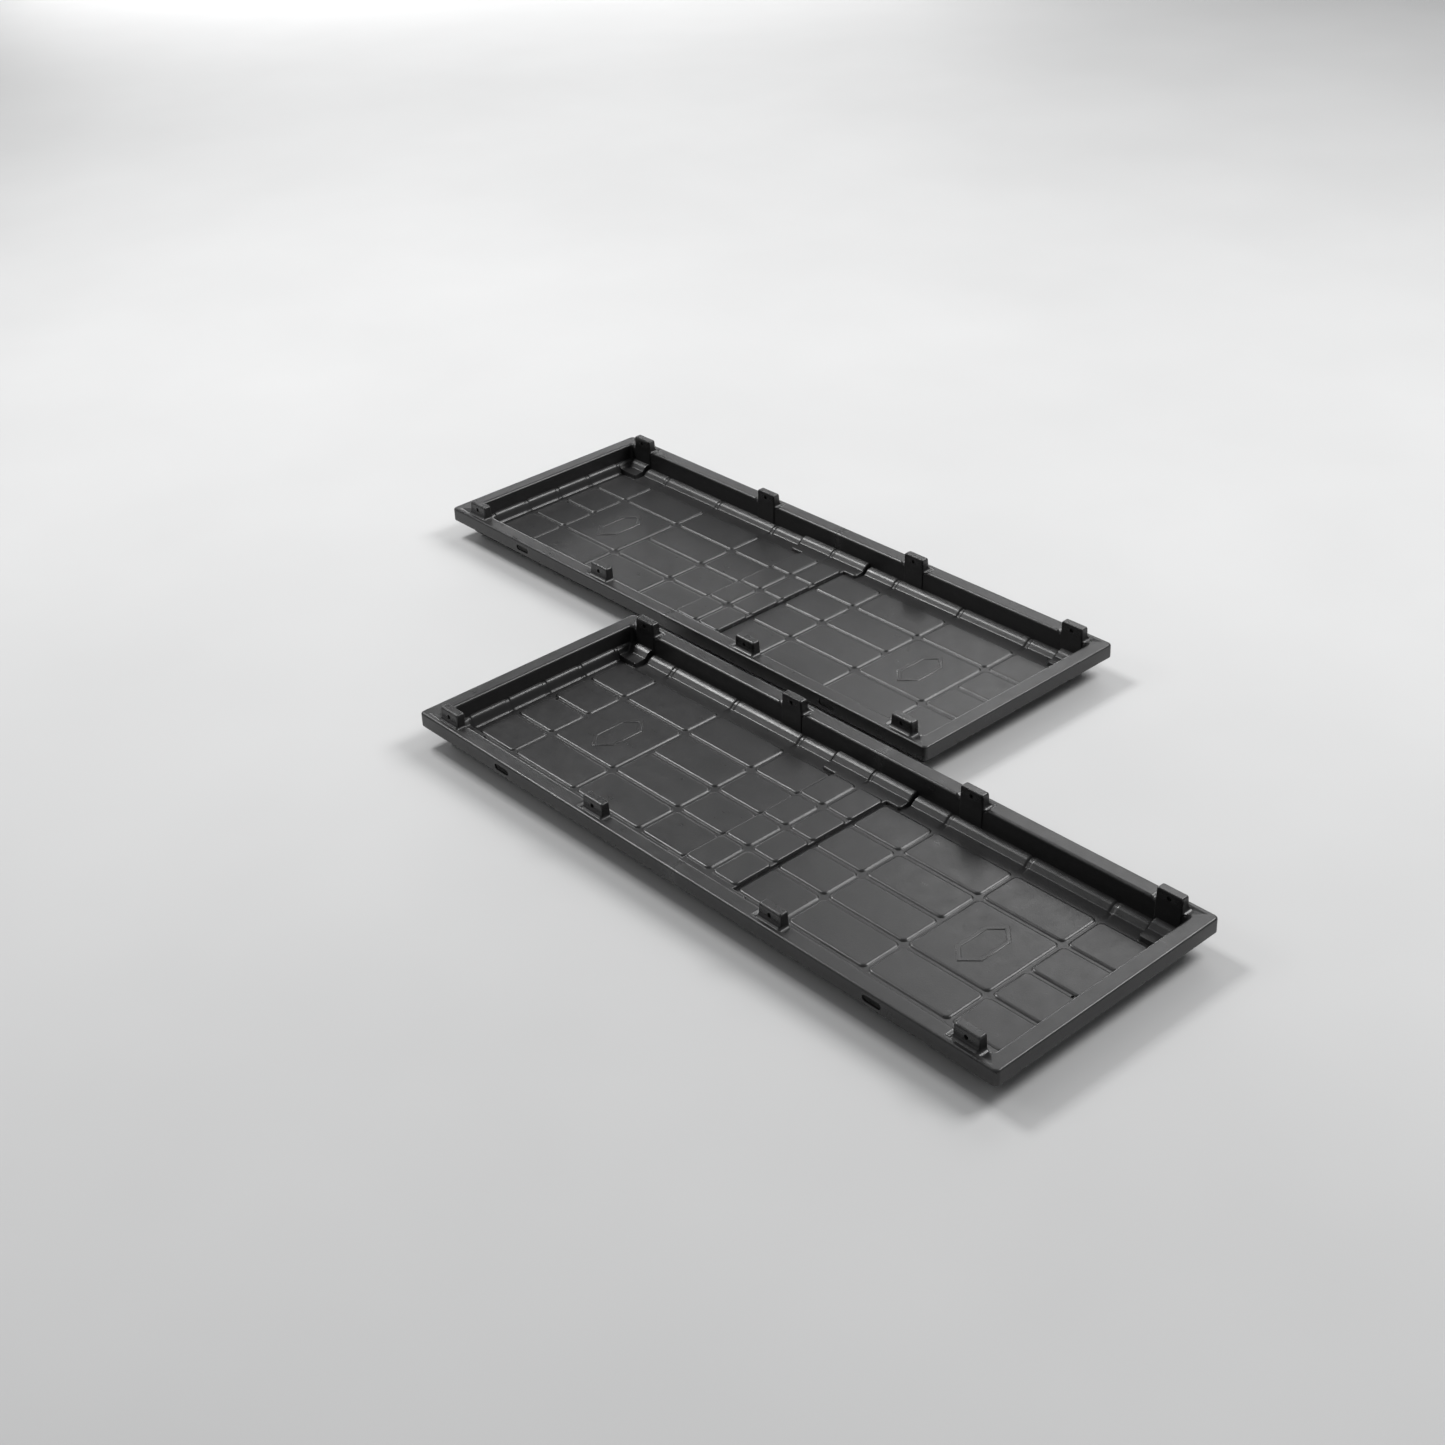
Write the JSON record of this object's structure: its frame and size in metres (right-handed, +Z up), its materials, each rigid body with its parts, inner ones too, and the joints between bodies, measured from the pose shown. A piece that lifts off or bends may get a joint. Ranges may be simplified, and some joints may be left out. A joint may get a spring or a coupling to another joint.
{
  "type": "truck bed liner tray pair",
  "caption": "Pair of long low-walled plastic bed liner trays with ribbed floors, tie-down tabs and glide feet; one tray slides fore and aft beside the other.",
  "frame": {"origin": "on the ground plane under the glides, on the centre line between the two trays, half-way along the pair as it stands at rest (the bottom centre of its bounding box)", "axes": "+X to the right, +Y forward towards the cab, +Z up"},
  "size_m": [1.138, 2.2, 0.096],
  "materials": {
    "tray_plastic": "fine moulded grain",
    "glide_plastic": "smooth",
    "strip_metal": "mill",
    "screw_steel": "zinc plated"
  },
  "bodies": {
    "right_tray": {"right_tray_rear_half": "tray_plastic", "right_tray_front_half": "tray_plastic", "right_tray_joiner_cover": "tray_plastic", "right_tray_backing_strip": "strip_metal", "right_tray_joiner_screws": "screw_steel", "right_tray_glide_rear_left": "glide_plastic", "right_tray_glide_rear_right": "glide_plastic", "right_tray_glide_mid_left": "glide_plastic", "right_tray_glide_mid_right": "glide_plastic", "right_tray_glide_front_left": "glide_plastic", "right_tray_glide_front_right": "glide_plastic", "right_tray_glide_screws": "screw_steel"},
    "left_tray": {"left_tray_rear_half": "tray_plastic", "left_tray_front_half": "tray_plastic", "left_tray_joiner_cover": "tray_plastic", "left_tray_backing_strip": "strip_metal", "left_tray_joiner_screws": "screw_steel", "left_tray_glide_rear_left": "glide_plastic", "left_tray_glide_rear_right": "glide_plastic", "left_tray_glide_mid_left": "glide_plastic", "left_tray_glide_mid_right": "glide_plastic", "left_tray_glide_front_left": "glide_plastic", "left_tray_glide_front_right": "glide_plastic", "left_tray_glide_screws": "screw_steel"}
  },
  "joints": [
    {"name": "left_tray_slide", "type": "slide", "parent": "right_tray", "child": "left_tray", "axis": [0, 1, 0], "range_m": [0, 0.7]}
  ]
}
